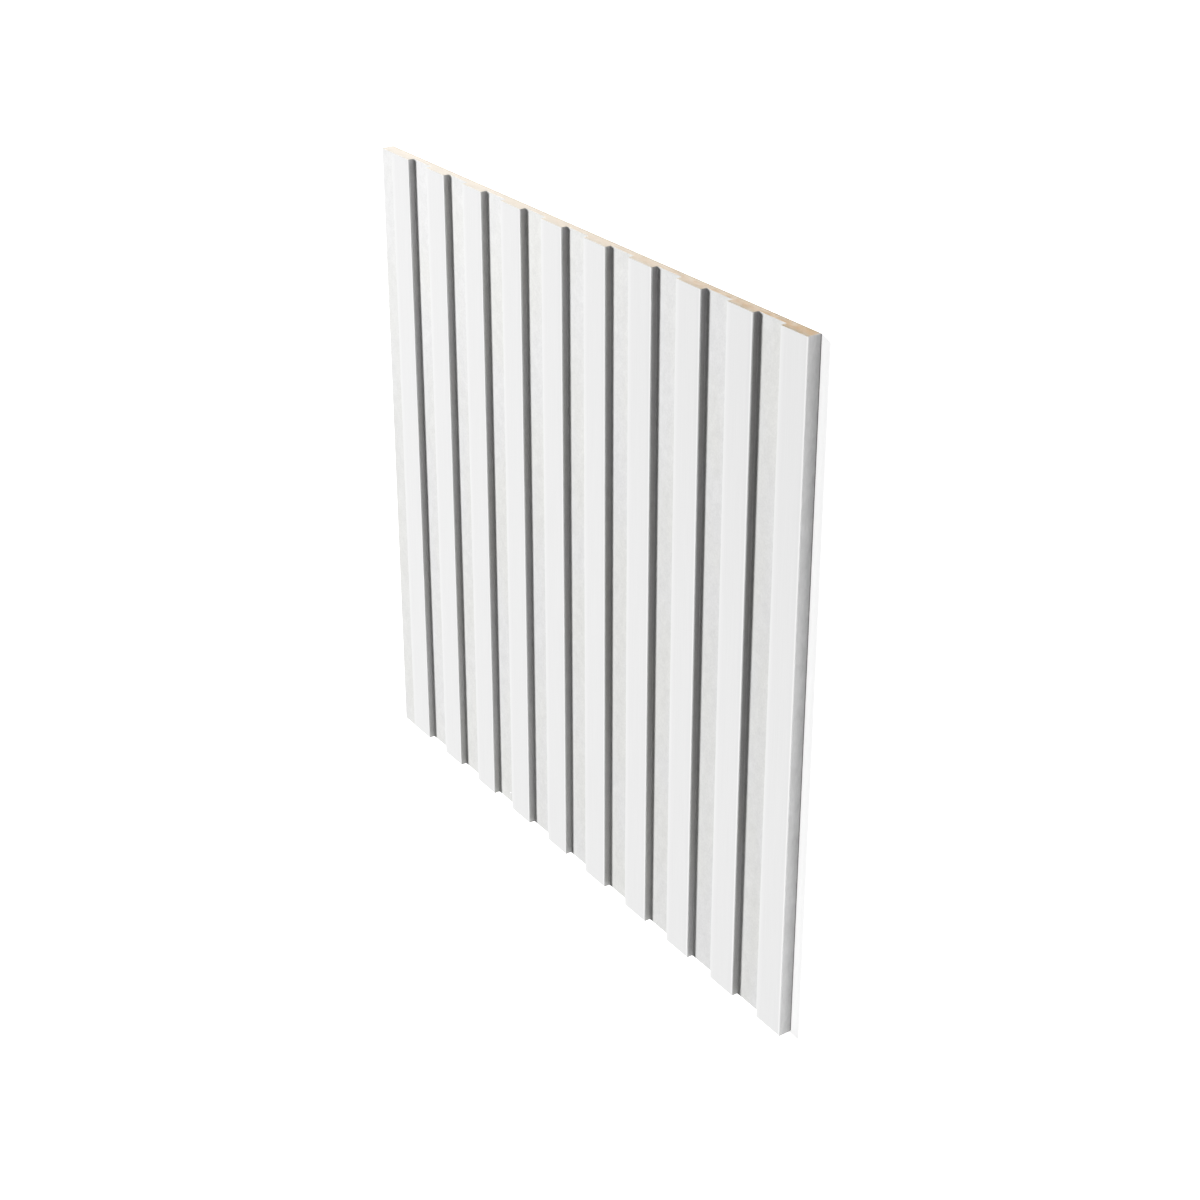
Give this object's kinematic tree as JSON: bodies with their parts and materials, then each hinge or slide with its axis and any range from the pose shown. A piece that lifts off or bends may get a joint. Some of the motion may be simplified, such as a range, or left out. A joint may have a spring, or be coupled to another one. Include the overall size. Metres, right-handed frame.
{
  "type": "slatted mdf wall panel",
  "caption": "Square wall panel of white-primed MDF: flat vertical slats between square milled grooves, raw at the two cut ends, glued up side by side as wall lining.",
  "frame": {"origin": "middle of the back face, the face that is glued to a wall", "axes": "+X runs across the slats from the plain margin to the last slat, +Y runs along the slats and points up once the panel is hung, +Z points out of the slatted face"},
  "size_m": [0.6, 0.6, 0.012],
  "materials": {
    "primed_mdf": "matt white factory primer on the face, grooves, long edges and back, raw fibre at the two cut ends"
  },
  "bodies": {
    "root": {"grooved_panel": "primed_mdf"}
  },
  "joints": []
}
